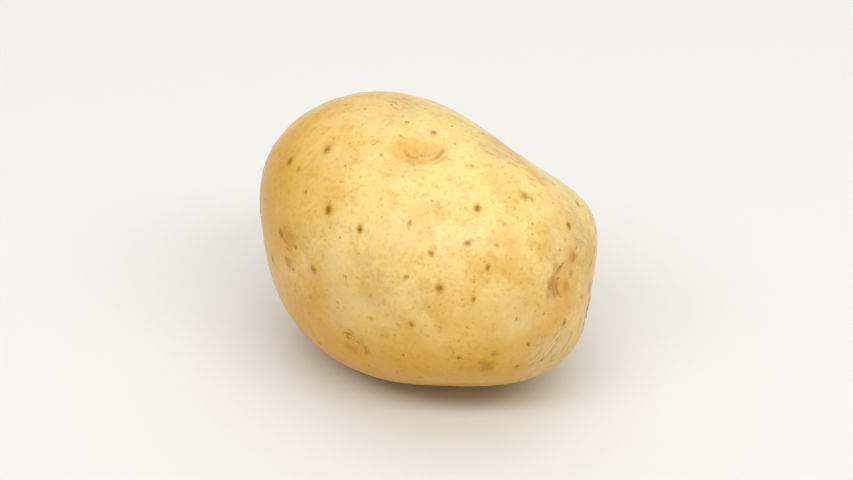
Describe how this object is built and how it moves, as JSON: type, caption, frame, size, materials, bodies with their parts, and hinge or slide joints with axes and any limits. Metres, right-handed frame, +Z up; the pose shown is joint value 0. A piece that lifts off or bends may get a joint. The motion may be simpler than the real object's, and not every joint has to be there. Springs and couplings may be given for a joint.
{
  "type": "potato",
  "caption": "Whole raw table potato with thin pale yellow skin, shallow eyes and a small flat spot that it rests on.",
  "frame": {"origin": "on the resting plane, under the middle of the potato's bounding box", "axes": "+X from the heel end, where the runner held the tuber, to the rose end, where the eyes crowd together; +Z up"},
  "size_m": [0.082, 0.064, 0.06],
  "materials": {
    "skin": "satin"
  },
  "bodies": {
    "root": {"potato": "skin"}
  },
  "joints": []
}
